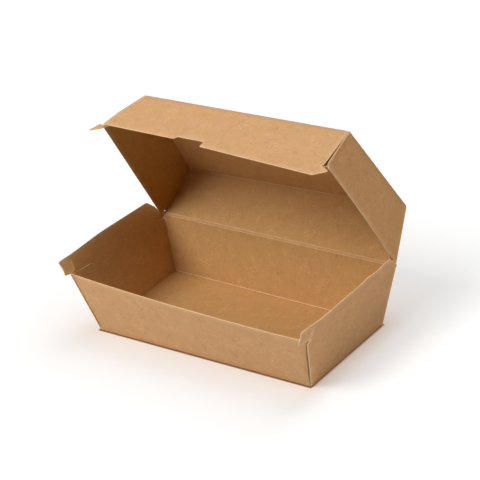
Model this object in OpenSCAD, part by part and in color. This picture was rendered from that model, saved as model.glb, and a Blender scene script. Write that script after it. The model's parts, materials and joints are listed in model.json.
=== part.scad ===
// Folded board clamshell box for takeaway food: a tapered tray and a shallower lid, cut from
// one sheet and joined by a scored crease along the top of the back wall.
// The origin is under the middle of the whole box, on the face that it stands on.
// The lid is drawn open, at the angle at which it rests.

/* [Board] */
// Thickness of the board
board = 0.6; // [0.4:0.05:0.8]

/* [Tray] */
// Length of the tray at its rim, over the end walls
rim_l = 205; // [185:1:230]
// Depth of the tray at its rim, from the front wall to the hinge crease
rim_w = 107; // [95:1:125]
// Length of the tray's base
base_l = 184; // [170:1:184]
// Depth of the tray's base
base_w = 90.5; // [80:0.5:90.5]
// Height from the base to the rim and the hinge crease
tray_h = 46; // [38:1:60]
// How far the back wall leans outwards from the base to the rim
back_slant = 6.1; // [4.5:0.1:6.1]
// How far the end walls rise above the rim
wing_h = 10.8; // [8:0.2:14]
// How much further the end walls lean outwards above the rim, in degrees
wing_flare = 6; // [0:1:10]
// Setback of the end walls' back corner from the hinge crease
wing_setback = 10; // [8:1:16]

/* [Ears of the tray] */
// How far the ears reach in front of the front wall
ear_reach = 9.4; // [5:0.2:11]
// How far the tip of an ear hooks forwards, beyond its top corner
ear_hook = 2; // [0:0.2:3]
// Radius of the rounded corners of the wings
ear_r = 1.4; // [1:0.1:2.4]
// Width of the slit behind each ear
slit_w = 0.9; // [0.6:0.1:1.4]
// Height of the slit above the rim
slit_h = 7.3; // [5:0.1:7.6]
// How far the slit runs back from the front wall at its top
slit_run = 5.6; // [4:0.2:8]

/* [Lid] */
// Depth of the lid from the hinge crease to its front edge at the rim
lid_w = 110.5; // [109.5:0.5:113]
// Height of the lid above the rim when it is shut
lid_h = 39; // [30:1:50]
// How far the lid's back wall leans forwards
lid_back_slant = 8.8; // [5:0.2:12]
// How far the lid's front wall leans backwards
lid_front_slant = 12.9; // [8:0.1:16]
// How far each end of the lid leans inwards, in degrees
lid_lean = 12; // [8:0.5:16]
// How far each end of the lid turns inwards towards the front, in degrees
lid_toe_in = 4.8; // [3:0.1:6]

/* [Front edge of the lid] */
// How far the front wall reaches past the rim, along the wall
lip = 2.9; // [1.5:0.1:5]
// Depth of the thumb notch
thumb_d = 4.5; // [3:0.5:7]
// Width of the thumb notch
thumb_w = 25; // [18:1:32]
// Place of the thumb notch, to the left of the middle
thumb_x = 19.5; // [-30:0.5:30]
// Length of the ears on the lid's front wall
hook_l = 9; // [6:0.5:10]
// Depth of the hooked notch above each ear
hook_d = 4; // [2:0.5:5]

/* [Glued flaps] */
// Length of the flaps glued inside the corners
flap_l = 24; // [16:1:30]
// Distance of the flaps from the edge of the wall
flap_drop = 3; // [2:0.5:6]

/* [Hinge] */
// Angle by which the lid is open, from shut
open_angle = 60; // [0:5:180]
// Width of the flexible crease between tray and lid
crease_w = 1; // [0.9:0.1:2]
// Distance by which each end of the lid stands inside the end of the tray
side_gap = 1; // [0.9:0.1:2]
// Height of the lid's lower edges above the rim when it is shut
rim_gap = 0.5; // [0.4:0.1:1.5]

/* [Hidden] */
$fn = 48;

board_colour = "#c69b6b";

// Large enough to cut across the whole box
far = 400;
// Depth by which glued layers run into one another
bite = 0.1;

// Slopes of the tray's walls: outward run for each mm of height
front_slant = rim_w - base_w - back_slant;
front_slope = front_slant / tray_h;
back_slope = back_slant / tray_h;
end_slope = (rim_l - base_l) / 2 / tray_h;
end_lean = atan(end_slope);

// Slopes of the lid's walls: inward run for each mm of height
lid_front_slope = lid_front_slant / lid_h;
lid_back_slope = lid_back_slant / lid_h;
lid_front_lean = atan(lid_front_slope);
lid_half = rim_l / 2 - side_gap;

// The crease is the x axis of this frame, and the rim lies at z = 0
lid_top_y = -(lid_w - lid_front_slant);

// Half the length of the lid at a point of its end wall
function lid_x(y, z) = lid_half + y * tan(lid_toe_in) - z * tan(lid_lean);

// Place of the front wall's outer face at a height below or above the rim
function tray_front_y(z) = -rim_w - z * front_slope;
function lid_front_y(z) = -lid_w + z * lid_front_slope;

// Height of a point of the lid's front wall, by its distance from the top fold
function lid_front_z(v) = lid_h - v * cos(lid_front_lean);
lid_front_len = lid_h / cos(lid_front_lean);

// How far the open lid reaches behind the crease, and how far the ears reach before it
lid_reach = lid_h * sin(open_angle) - lid_back_slant * cos(open_angle);
crease_y = (rim_w + ear_reach - max(lid_reach, 0)) / 2;

// Thickness of a leaning board, measured along the axis that it leans from
function across(slope) = board * sqrt(1 + slope * slope);

// A flat outline in the side view, carried right across the box
module side_prism(points) {
    rotate([90, 0, 90])
        translate([0, 0, -far])
            linear_extrude(2 * far)
                polygon(points);
}

// A flat outline in the front view, carried right through the box
module front_prism(points) {
    rotate([90, 0, 0])
        translate([0, 0, -far])
            linear_extrude(2 * far)
                polygon(points);
}

// A board that leans from the vertical and turns from the side view, with its outer face
// through the point x on the x axis and a depth of layers inside that face
module end_board(x, lean, turn = 0, depth = 0, thick = board) {
    translate([x, 0, 0])
        rotate([0, -lean, -turn])
            translate([-depth - thick, -far / 2, -far / 2])
                cube([thick, far, far]);
}

// All that lies inside the outer face of such a board, at both ends
module between_ends(x, lean, turn = 0, depth = 0) {
    intersection() {
        end_board(x, lean, turn, depth, far);
        mirror([1, 0, 0])
            end_board(x, lean, turn, depth, far);
    }
}

module both_ends() {
    children();
    mirror([1, 0, 0])
        children();
}

// Tray: front wall, base and back wall are one strip of board
module tray_strip() {
    front_in = across(front_slope);
    back_in = across(back_slope);
    floor_z = -tray_h + board;
    intersection() {
        side_prism([
            [-rim_w, 0],
            [tray_front_y(-tray_h), -tray_h],
            [-back_slant, -tray_h],
            [0, 0],
            [-back_in, 0],
            [-back_in + floor_z * back_slope, floor_z],
            [tray_front_y(floor_z) + front_in, floor_z],
            [-rim_w + front_in, 0],
        ]);
        between_ends(rim_l / 2, -end_lean, 0, board - bite);
    }
}

// Outline of an end wall in the side view, below the rim
module end_outline() {
    seam = board / 2;
    side_prism([
        [-rim_w + seam, 0],
        [tray_front_y(-tray_h) + seam, -tray_h],
        [-back_slant - seam, -tray_h],
        [-seam, -board],
        [-seam, 0],
    ]);
}

// Outline of the wing above an end wall, with the ear at its front
module wing_outline() {
    ear_front = -rim_w - ear_reach;
    back_low = -crease_w;
    difference() {
        side_prism(concat(
            [
                [back_low, 0],
                [back_low - wing_setback * 0.36, wing_h * 0.53],
            ],
            rounded([-wing_setback, wing_h], ear_r, 50, 90),
            rounded([ear_front + ear_hook, wing_h], ear_r, 90, 180),
            [[ear_front + ear_hook * 0.9, wing_h * 0.46]],
            rounded([ear_front, board / 2], ear_r * 0.6, 200, 270),
            [
                [-rim_w - board, board / 2],
                [-rim_w + board / 2, 0],
            ]
        ));
        ear_slit();
    }
}

// Points of an arc that rounds an outer corner, from one direction to another
function rounded(corner, r, from, to) =
    let (
        middle = (from + to) / 2,
        cx = corner[0] - r * sign(cos(middle)),
        cy = corner[1] - r * sign(sin(middle))
    )
    [for (i = [0:6]) let (a = from + (to - from) * i / 6) [cx + r * cos(a), cy + r * sin(a)]];

// The slit curves up and back from the top corner of the front wall and frees the ear
module ear_slit() {
    steps = 8;
    function slit_y(t) = -rim_w + slit_run * sin(90 * t);
    function slit_z(t) = -slit_w + (slit_h + slit_w) * (1 - cos(90 * t));
    function width(t) = slit_w * (1 - 0.6 * t);
    side_prism(concat(
        [for (i = [0:steps]) [slit_y(i / steps), slit_z(i / steps)]],
        [for (i = [steps:-1:0]) [slit_y(i / steps) + width(i / steps), slit_z(i / steps)]]
    ));
}

// One end wall of the tray, with its wing
module tray_end() {
    intersection() {
        end_board(rim_l / 2, -end_lean);
        end_outline();
    }
    intersection() {
        end_board(rim_l / 2, -end_lean - wing_flare);
        wing_outline();
    }
}

// Flaps that fold from the front and back walls and are glued inside an end wall
module tray_flaps() {
    top = -flap_drop;
    low = -tray_h + 2 * board;
    mid = -tray_h * 0.72;
    layer = board - bite;
    intersection() {
        end_board(rim_l / 2, -end_lean, 0, layer);
        union() {
            side_prism([
                [tray_front_y(top) + board / 2, top],
                [tray_front_y(low) + board / 2, low],
                [tray_front_y(mid) + flap_l, mid],
                [-rim_w + flap_l, top - 2],
                [-rim_w + flap_l - 3, top - 1],
            ]);
            side_prism([
                [top * back_slope - board / 2, top],
                [low * back_slope - board / 2, low],
                [mid * back_slope - flap_l, mid],
                [-flap_l, top - 2],
                [-flap_l + 3, top - 1],
            ]);
        }
    }
}

// Lid, drawn shut: back wall and top panel are one strip of board
module lid_strip() {
    back_in = across(lid_back_slope);
    inner_z = lid_h - board;
    intersection() {
        side_prism([
            [-crease_w * lid_back_slope, crease_w],
            [-lid_back_slant, lid_h],
            [lid_top_y, lid_h],
            [lid_front_y(inner_z), inner_z],
            [-inner_z * lid_back_slope - back_in, inner_z],
            [-crease_w * lid_back_slope - back_in, crease_w],
        ]);
        between_ends(lid_half, lid_lean, lid_toe_in, board - bite);
    }
}

// The lid's front wall ends in an edge with a thumb notch and an ear at each corner
module lid_front() {
    front_in = across(lid_front_slope);
    bottom = lid_front_z(lid_front_len + lip + 1);
    intersection() {
        side_prism([
            [lid_top_y, lid_h],
            [lid_front_y(bottom), bottom],
            [lid_front_y(bottom) + front_in, bottom],
            [lid_top_y + front_in, lid_h],
        ]);
        front_prism(lid_front_points());
    }
}

// Outline of the lid's front wall in the front view, from the left end of the top fold down
// the left end, along the front edge and up the right end
function lid_front_points() =
    let (
        edge_z = lid_front_z(lid_front_len + lip),
        notch_z = lid_front_z(lid_front_len + lip - thumb_d),
        half_top = lid_x(lid_top_y, lid_h),
        half_rim = lid_x(-lid_w, 0),
        right = [
            [half_rim - hook_l + 1, edge_z - 0.7],
            [half_rim + 1, edge_z + 4.6],
            [half_rim - hook_d - 1.5, edge_z + 8.8],
            [half_rim - 1.8, edge_z + 10],
            [half_top, lid_h],
        ]
    )
    concat(
        [for (i = [4:-1:0]) [-right[i][0], right[i][1]]],
        [
            [-half_rim + hook_l + 1, edge_z],
            [-thumb_x - thumb_w / 2, edge_z],
            [-thumb_x - thumb_w / 2 + 1.5, notch_z],
            [-thumb_x + thumb_w / 2 - 2, notch_z],
            [-thumb_x + thumb_w / 2, notch_z - 1.2],
            [-thumb_x + thumb_w / 2, edge_z],
            [half_rim - hook_l - 1, edge_z],
        ],
        right
    );

// One end wall of the lid
module lid_end() {
    intersection() {
        end_board(lid_half, lid_lean, lid_toe_in);
        side_prism([
            [-crease_w * lid_back_slope - board / 2, rim_gap],
            [-lid_back_slant - board / 2, lid_h],
            [lid_top_y + board / 2, lid_h],
            [lid_front_y(rim_gap) + board / 2, rim_gap],
        ]);
    }
}

// Flaps of the lid: from the end walls they are glued inside the front wall, and from the
// back wall inside the end walls
module lid_flaps() {
    low = flap_drop / 2;
    high = lid_h - 2 * board;
    mid = lid_h * 0.7;
    front_in = across(lid_front_slope);
    root = 1 + board;
    intersection() {
        side_prism([
            [lid_front_y(low) + front_in - bite, low],
            [lid_front_y(high) + front_in - bite, high],
            [lid_front_y(high) + 2 * front_in - bite, high],
            [lid_front_y(low) + 2 * front_in - bite, low],
        ]);
        front_prism([
            [lid_x(-lid_w, low) - root, low],
            [lid_x(lid_top_y, high) - root, high],
            [lid_x(lid_top_y, mid) - flap_l, mid],
            [lid_x(-lid_w, low) - flap_l, low + 2],
            [lid_x(-lid_w, low) - flap_l + 3, low],
        ]);
        between_ends(lid_half, lid_lean, lid_toe_in, board - bite);
    }
    intersection() {
        end_board(lid_half, lid_lean, lid_toe_in, board - bite);
        side_prism([
            [-low * lid_back_slope - board / 2, low],
            [-high * lid_back_slope - board / 2, high],
            [-mid * lid_back_slope - flap_l, mid],
            [-flap_l, low + 2],
            [-flap_l + 3, low],
        ]);
    }
}

module lid_shut() {
    lid_strip();
    lid_front();
    both_ends() {
        lid_end();
        lid_flaps();
    }
}

module tray() {
    color(board_colour)
        translate([0, crease_y, tray_h]) {
            tray_strip();
            both_ends() {
                tray_end();
                tray_flaps();
            }
        }
}

module lid() {
    color(board_colour)
        translate([0, crease_y, tray_h])
            rotate([-open_angle, 0, 0])
                lid_shut();
}

tray();
lid();
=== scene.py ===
"""Takeaway box folded from one sheet of kraft board: its board, crease, score beads and stage."""

import json
import math
from collections import namedtuple

import bmesh
import bpy
from bpy.props import FloatProperty, FloatVectorProperty, PointerProperty
from mathutils import Matrix, Vector
from mathutils.geometry import delaunay_2d_cdt


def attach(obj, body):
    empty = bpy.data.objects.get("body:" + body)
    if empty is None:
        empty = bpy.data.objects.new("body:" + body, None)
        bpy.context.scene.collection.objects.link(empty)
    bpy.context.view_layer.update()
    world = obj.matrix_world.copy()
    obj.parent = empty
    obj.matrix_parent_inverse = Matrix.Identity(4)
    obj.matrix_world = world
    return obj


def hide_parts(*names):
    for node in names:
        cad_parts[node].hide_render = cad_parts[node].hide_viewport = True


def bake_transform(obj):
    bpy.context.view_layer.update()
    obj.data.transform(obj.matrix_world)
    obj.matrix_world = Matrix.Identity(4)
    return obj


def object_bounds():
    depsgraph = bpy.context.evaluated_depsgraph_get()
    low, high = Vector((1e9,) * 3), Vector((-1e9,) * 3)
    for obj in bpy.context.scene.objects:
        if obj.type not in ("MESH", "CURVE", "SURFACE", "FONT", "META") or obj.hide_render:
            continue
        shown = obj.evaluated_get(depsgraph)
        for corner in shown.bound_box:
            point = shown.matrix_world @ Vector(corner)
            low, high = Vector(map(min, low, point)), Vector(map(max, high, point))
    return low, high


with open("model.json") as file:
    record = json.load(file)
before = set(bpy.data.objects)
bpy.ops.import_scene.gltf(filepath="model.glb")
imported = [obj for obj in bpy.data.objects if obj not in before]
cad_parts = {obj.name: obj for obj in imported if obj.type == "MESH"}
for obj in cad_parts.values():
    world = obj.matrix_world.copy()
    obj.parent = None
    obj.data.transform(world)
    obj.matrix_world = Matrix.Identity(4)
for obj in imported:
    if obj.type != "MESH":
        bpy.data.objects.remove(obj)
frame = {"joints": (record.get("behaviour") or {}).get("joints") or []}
CAD_LOW, CAD_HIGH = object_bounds()

bl_info = {
    "name": "Takeaway box",
    "version": (1, 0, 0),
    "blender": (4, 5, 0),
    "location": "3D View > Sidebar > Takeaway box",
    "description": "Makes the folded board of a takeaway box, open, on a plain stage",
    "category": "Object",
}

MM = 1000.0
HINGE = frame["joints"][0]["pos_m"]
REST_ANGLE = -frame["joints"][0]["range_deg"][0]
LEFT, RIGHT = -1, 1
# The stage, in metres: from the lights to the box, the point that the camera is turned about, and
# how far right of it and above it the middle of the view lies
LIGHT_DISTANCE = 1.7
MIDDLE_BEFORE_HINGE = 0.043
MIDDLE_HEIGHT = 0.06
VIEW_SHIFT = (0.00383, 0.00389)

# Small measures in mm: how far the wear of a cut edge and the painted shade of a fold reach, a
# distance that is out of reach of both, the distance within which points are joined, and how far a
# cut edge bulges
CUT_REACH = 0.4
FOLD_REACH = 0.7
OUT_OF_REACH = 9.0
JOIN_DISTANCE = 0.02
EDGE_BULGE = 0.08
# The gap between a flap and its end wall, and how far its end is sunk in the wall, in mm
FLAP_GAP = 0.05
FLAP_SINK = 0.63
# How far a flap's fold reaches, as a share of the fold radius, and where the flap starts, as a
# share of that
FLAP_FOLD = 0.85
FLAP_START = 0.95


# Sizes and colours that a user would change

def length(name, description, millimetres):
    """A length in metres, with its default given in millimetres."""
    return FloatProperty(name=name, description=description, default=millimetres / MM,
                         unit="LENGTH", precision=4)


def angle(name, description, degrees):
    return FloatProperty(name=name, description=description, default=math.radians(degrees),
                         unit="ROTATION")


def colour(name, description, red, green, blue):
    return FloatVectorProperty(name=name, description=description, subtype="COLOR", size=3,
                               min=0.0, max=1.0, default=(red, green, blue))


class BoardSettings(bpy.types.PropertyGroup):
    thickness: length("Thickness", "Thickness of the board", 0.6)
    fold_radius: length("Fold radius", "Outer radius of every fold", 0.9)
    flap_length: length("Flap length", "Length of the glued flaps", 24)
    seam: length("Seam", "Widest opening of the seam at a glued corner", 1.25)
    grid: length("Grid", "Spacing of the points inside a panel", 4)


class TraySettings(bpy.types.PropertyGroup):
    rim_length: length("Rim length", "Length of the tray at its rim", 205)
    rim_depth: length("Rim depth", "Depth of the tray at its rim", 107)
    base_length: length("Base length", "Length of the tray's base", 184)
    base_depth: length("Base depth", "Depth of the tray's base", 90.5)
    back_slant: length("Back slant", "How far the back wall leans outwards", 6.1)
    wing_height: length("Wing height", "Height of the end walls above the rim", 10.8)
    wing_flare: angle("Wing flare", "Extra lean of the wings above the rim", 6)
    wing_setback: length("Wing setback", "Setback of the wings' back corner", 10)
    ear_reach: length("Ear reach", "How far the ears reach in front of the front wall", 9.0)
    left_ear_bend: angle("Left ear bend", "How far the left ear bends inwards", 22)
    right_ear_bend: angle("Right ear bend", "How far the right ear bends inwards", 5)


class LidSettings(bpy.types.PropertyGroup):
    depth: length("Depth", "Depth of the lid at its open side", 110.5)
    height: length("Height", "Height of the lid", 39)
    back_slant: length("Back slant", "How far the back wall leans forwards", 8.8)
    front_slant: length("Front slant", "How far the front wall leans backwards", 12.9)
    end_lean: angle("End lean", "Lean of the end walls", 12)
    toe_in: angle("Toe-in", "How far the end walls turn in towards the front", 4.8)
    side_gap: length("Side gap", "Setback of the lid's ends from the tray's ends", 1)
    twist: length("Twist", "How far the front wall's free corners stand out or in", 2.5)


class CreaseSettings(bpy.types.PropertyGroup):
    tray_side: length("Tray side", "Width of the crease on the tray's side", 0.9)
    lid_side: length("Lid side", "Width of the crease on the lid's side", 1.05)
    ridge: length("Ridge", "Height of the two scored ridges", 0.28)
    bead_radius: length("Bead radius", "Radius of the bead inside a fold", 0.38)


class KraftSettings(bpy.types.PropertyGroup):
    outside: colour("Outside", "Outer face of the board", 0.63, 0.352, 0.16)
    # The inner face is a little darker than the outer, most in its blue: partly the board's own
    # tone and partly painted shade for the inside of the box
    inside: colour("Inside", "Inner face of the board", 0.585, 0.325, 0.122)
    cut_edge: colour("Cut edge", "Raw cut edges and scored ridges", 0.88, 0.61, 0.37)
    bump: FloatProperty(name="Bump", description="Strength of the paper's relief", default=0.35)


class StageSettings(bpy.types.PropertyGroup):
    azimuth: angle("Azimuth", "Direction of the camera round the box", 39.55)
    elevation: angle("Elevation", "Height of the camera above the horizon", 27.21)
    roll: angle("Roll", "Turn of the camera about its own axis", -7.83)
    distance: length("Distance", "From the camera to the middle of the view", 1108.2)
    lens: FloatProperty(name="Lens", description="Focal length in mm", default=119.68)
    key: FloatProperty(name="Key light", description="Power in W", default=23.5)
    floor_glow: FloatProperty(name="Floor glow", description="Light added to the floor's white",
                              default=0.60)


# Small helpers for points and curves

def clamp(value, low=0.0, high=1.0):
    return max(low, min(high, value))


def smooth(value):
    """Rises smoothly from 0 to 1."""
    t = clamp(value)
    return t * t * (3 - 2 * t)


def between(a, b, share):
    """Point at a share of the way from a to b."""
    return tuple(p + (q - p) * share for p, q in zip(a, b))


def arc_points(centre, radius, start, end, steps):
    """Points of an arc in a panel's plane, its angles in degrees."""
    points = []
    for i in range(steps + 1):
        turn = math.radians(start + (end - start) * i / steps)
        points.append((centre[0] + radius * math.cos(turn), centre[1] + radius * math.sin(turn)))
    return points


def tangent_length(near, far, radius):
    """Distance from a sharp corner at which a fold of that radius starts, for the directions
    of travel before and after it."""
    turn = near.normalized().angle(far.normalized())
    return radius * math.tan(turn / 2)


def distance_to_edge(point, a, b):
    dx = b[0] - a[0]
    dy = b[1] - a[1]
    size = dx * dx + dy * dy
    t = clamp(((point[0] - a[0]) * dx + (point[1] - a[1]) * dy) / size) if size else 0.0
    return math.hypot(point[0] - a[0] - t * dx, point[1] - a[1] - t * dy)


def is_inside(point, loop):
    """Whether a point of a panel's plane lies inside a closed outline."""
    inside = False
    x, y = point
    for i, a in enumerate(loop):
        b = loop[i - 1]
        if (a[1] > y) != (b[1] > y):
            if x < (b[0] - a[0]) * (y - a[1]) / (b[1] - a[1]) + a[0]:
                inside = not inside
    return inside


def mirrored(right):
    """The left half of an outline, from the end of its right half back to the start of it."""
    left = []
    for i in reversed(range(len(right))):
        steps = right[i - 1][2:] if i else ()
        left.append((-right[i][0], right[i][1], *steps))
    return left


# The folded sheet

class FoldedSheet:
    """One face of a folded board, put together from flat panels and rounded folds.

    Points are in mm. Each also keeps its place on the flat sheet, how near it is to a cut edge
    and to a fold, and the name of the part that it belongs to."""

    def __init__(self, grid):
        self.grid = grid
        self.mesh = bmesh.new()
        layers = self.mesh.verts.layers
        self.across = layers.float.new("across")
        self.along = layers.float.new("along")
        self.cut = layers.float.new("cut")
        self.fold = layers.float.new("fold")
        self.part = layers.int.new("part")
        self.parts = []

    def vertex(self, place, flat, cut, fold, part):
        vert = self.mesh.verts.new(place)
        vert[self.across] = flat[0]
        vert[self.along] = flat[1]
        vert[self.cut] = cut
        vert[self.fold] = fold
        vert[self.part] = self.parts.index(part)
        return vert

    def face(self, verts, outward):
        made = self.mesh.faces.new(verts)
        made.normal_update()
        if made.normal.dot(outward) < 0:
            made.normal_flip()

    def panel(self, part, outline, place, flat, outward):
        """A flat panel. The outline holds (p, q) for a corner before a cut edge, (p, q, steps)
        for a corner before an edge that a fold joins in so many steps, and (p, q, -steps) for
        one before an edge that lies flush with its neighbour."""
        if part not in self.parts:
            self.parts.append(part)
        loop = []
        folded = []
        joined = []
        for i, corner in enumerate(outline):
            after = outline[(i + 1) % len(outline)]
            span = math.hypot(after[0] - corner[0], after[1] - corner[1])
            steps = abs(corner[2]) if len(corner) > 2 else max(1, round(span / self.grid))
            if len(corner) > 2:
                joined.append((corner[:2], after[:2]))
                if corner[2] > 0:
                    folded.append(joined[-1])
            for k in range(steps):
                loop.append(between(corner[:2], after[:2], k / steps))
        edges = [(loop[i - 1], loop[i]) for i in range(len(loop))]
        points = loop + self.inner_points(loop, edges)
        found = delaunay_2d_cdt([Vector(p) for p in points], [], [list(range(len(loop)))], 1, 1e-5)
        cut_edges = [e for e in edges if not any(self.on_edge(e, f) for f in joined)]
        verts = []
        if part.endswith("flap"):
            cut_edges = []
        for p in found[0]:
            to_cut = min([distance_to_edge(p, *e) for e in cut_edges] or [OUT_OF_REACH])
            to_fold = min([distance_to_edge(p, *e) for e in folded] or [OUT_OF_REACH])
            verts.append(self.vertex(place(p[0], p[1]), flat(p[0], p[1]),
                                     math.exp(-to_cut / CUT_REACH),
                                     math.exp(-to_fold / FOLD_REACH), part))
        for corners in found[2]:
            self.face([verts[i] for i in corners], outward)

    @staticmethod
    def on_edge(edge, folded):
        middle = between(edge[0], edge[1], 0.5)
        return distance_to_edge(middle, *folded) < 1e-4

    def inner_points(self, loop, edges):
        """Points of a row close to the outline, and of a regular grid further in."""
        found = []
        row = 0.5
        turn = sum(a[0] * b[1] - b[0] * a[1] for a, b in edges)
        side = 1 if turn > 0 else -1
        for (before, a), (_, after) in zip(edges, edges[1:] + edges[:1]):
            run = Vector(a) - Vector(before)
            run = run.normalized() + (Vector(after) - Vector(a)).normalized()
            if run.length < 1.2:
                continue
            run.normalize()
            point = (a[0] - side * row * run[1], a[1] + side * row * run[0])
            if is_inside(point, loop) and min(distance_to_edge(point, *e) for e in edges) > 0.35:
                found.append(point)
        low = [min(p[k] for p in loop) for k in (0, 1)]
        high = [max(p[k] for p in loop) for k in (0, 1)]
        counts = [max(1, round((high[k] - low[k]) / self.grid)) for k in (0, 1)]
        for i in range(1, counts[0]):
            for j in range(1, counts[1]):
                point = (low[0] + (high[0] - low[0]) * i / counts[0],
                         low[1] + (high[1] - low[1]) * j / counts[1])
                if is_inside(point, loop):
                    if min(distance_to_edge(point, *e) for e in edges) > self.grid * 0.45:
                        found.append(point)
        return found

    def rounded_fold(self, part, steps, near, corner, far, near_flat, far_flat, outward):
        """A rounded fold. near, corner and far give points for a share of the fold's length:
        the line that it leaves, the sharp corner and the line that it meets. Returns its rows
        of points, each with its place on the flat sheet."""
        if part not in self.parts:
            self.parts.append(part)
        rows = []
        made = []
        across = 5
        for i in range(steps + 1):
            share = i / steps
            start, middle, end = near(share), corner(share), far(share)
            weight = math.sin((start - middle).angle(end - middle) / 2)
            row = []
            made.append([])
            for k in range(across + 1):
                t = k / across
                parts = ((1 - t) ** 2, 2 * weight * t * (1 - t), t * t)
                total = sum(parts)
                place = (start * parts[0] + middle * parts[1] + end * parts[2]) / total
                flat = between(near_flat(share), far_flat(share), t)
                # Painted shade along the fold, strongest at its middle; a flap's fold gets a paler
                # mark instead, partly wear and partly a painted highlight
                wear_and_painted_light = 1 - 0.5 * abs(2 * t - 1)
                if part.endswith("flap"):
                    wear_and_painted_light = -wear_and_painted_light
                made[-1].append((place, flat))
                row.append(self.vertex(place, flat, 0.0, wear_and_painted_light, part))
            rows.append(row)
        for i in range(steps):
            for k in range(across):
                self.face([rows[i][k], rows[i][k + 1], rows[i + 1][k + 1], rows[i + 1][k]], outward)
        return made

    def corner_cap(self, part, ring, outward):
        """Closes the gap that the folds leave where they meet at a corner, with a fan of faces."""
        # The cap gets the painted shade of the folds round it
        wear_and_painted_light = 0.6
        middle = Vector()
        for place, _ in ring:
            middle += place / len(ring)
        centre = [sum(flat[k] for _, flat in ring) / len(ring) for k in (0, 1)]
        hub = self.vertex(middle + outward.normalized() * 0.05, centre, 0.0, wear_and_painted_light, part)
        rim = [self.vertex(place, flat, 0.0, wear_and_painted_light, part) for place, flat in ring]
        for a, b in zip(rim, rim[1:] + rim[:1]):
            self.face([hub, a, b], outward)

    def thicken(self, name, warp, thickness, shade_paint_by_part):
        """Joins the panels, moves each point as warp says, and gives the sheet its thickness.
        Its faces have three materials: outside, inside and cut edge. The last argument gives the
        painted shade of each part, as a number or a function of the point: how much darker its
        paper is painted where the part lies in shade."""
        mesh = self.mesh
        bmesh.ops.remove_doubles(mesh, verts=mesh.verts, dist=JOIN_DISTANCE)
        mesh.verts.ensure_lookup_table()
        # The painted shade of each point, taken from its part
        darker = []
        for vert in mesh.verts:
            part = self.parts[vert[self.part]]
            shade_paint = shade_paint_by_part.get(part, 0.0)
            darker.append(shade_paint(vert.co) if callable(shade_paint) else shade_paint)
            vert.co = warp(vert.co.copy(), part)
        mesh.normal_update()
        mesh.verts.index_update()
        outer = [v.co.copy() for v in mesh.verts]
        inward = [-v.normal for v in mesh.verts]
        rims = {}
        for edge in mesh.edges:
            if len(edge.link_faces) == 1:
                loop = edge.link_loops[0]
                a, b = loop.vert, loop.link_loop_next.vert
                out = (b.co - a.co).normalized().cross(loop.face.normal)
                for vert in (a, b):
                    rims[vert.index] = rims.get(vert.index, Vector()) + out
        count = len(outer)
        points = outer + [p + n * thickness for p, n in zip(outer, inward)]
        facts = []
        for v, shade_paint in zip(mesh.verts, darker):
            facts.append((v[self.across], v[self.along], v[self.cut], v[self.fold], shade_paint))
        facts = facts + facts
        bulges = {}
        for index, out in rims.items():
            out = out.normalized() * EDGE_BULGE
            ends = []
            for depth in (0.15, 0.85):
                ends.append(len(points))
                points.append(outer[index] + inward[index] * (thickness * depth) + out)
                facts.append(facts[index])
            bulges[index] = ends
        faces = []
        kinds = []
        for face in mesh.faces:
            corners = [v.index for v in face.verts]
            faces.append(corners)
            kinds.append(0)
            faces.append([count + i for i in reversed(corners)])
            kinds.append(1)
        for edge in mesh.edges:
            if len(edge.link_faces) == 1:
                loop = edge.link_loops[0]
                kind = 1 if self.parts[loop.vert[self.part]] == "back_flap" else 2
                a, b = loop.vert.index, loop.link_loop_next.vert.index
                left = [a, *bulges[a], count + a]
                right = [b, *bulges[b], count + b]
                for k in range(3):
                    faces.append([right[k], left[k], left[k + 1], right[k + 1]])
                    kinds.append(kind)
        mesh.free()
        return board_object(name, points, faces, kinds, facts)


def board_object(name, points, faces, kinds, facts):
    """An object in metres from points in mm, kept within the box of the solids, with the flat
    sheet's place as its UV map."""
    spare = 0.02
    low = [v * MM + spare for v in CAD_LOW]
    high = [v * MM - spare for v in CAD_HIGH]
    low[2] = CAD_LOW[2] * MM
    kept = []
    for p in points:
        kept.append(tuple(clamp(v, low[k], high[k]) / MM for k, v in enumerate(p)))
    mesh = bpy.data.meshes.new(name)
    mesh.from_pydata(kept, [], faces)
    mesh.polygons.foreach_set("material_index", kinds)
    mesh.polygons.foreach_set("use_smooth", [True] * len(faces))
    uv = mesh.uv_layers.new(name="sheet")
    flat = []
    for loop in mesh.loops:
        fact = facts[loop.vertex_index]
        flat.extend((fact[0] / 100, fact[1] / 100))
    uv.data.foreach_set("uv", flat)
    # Nearness to a cut edge for its wear, the painted shade or paler mark of a fold, and the
    # painted shade of a part, for the materials
    for k, title in ((2, "cut"), (3, "fold"), (4, "shade_paint")):
        layer = mesh.attributes.new(title, "FLOAT", "POINT")
        layer.data.foreach_set("value", [fact[k] for fact in facts])
    sharp = {}
    for polygon, kind in zip(mesh.polygons, kinds):
        for key in polygon.edge_keys:
            sharp.setdefault(key, set()).add(kind)
    layer = mesh.attributes.new("sharp_edge", "BOOLEAN", "EDGE")
    layer.data.foreach_set("value", [len(sharp[e.key]) > 1 for e in mesh.edges])
    mesh.update()
    made = bpy.data.objects.new(name, mesh)
    bpy.context.scene.collection.objects.link(made)
    return made


# Shape of the tray and the lid, in mm. Both are drawn in the frame of the crease: x runs along
# it, y to the back, and z is 0 at the rim

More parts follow.
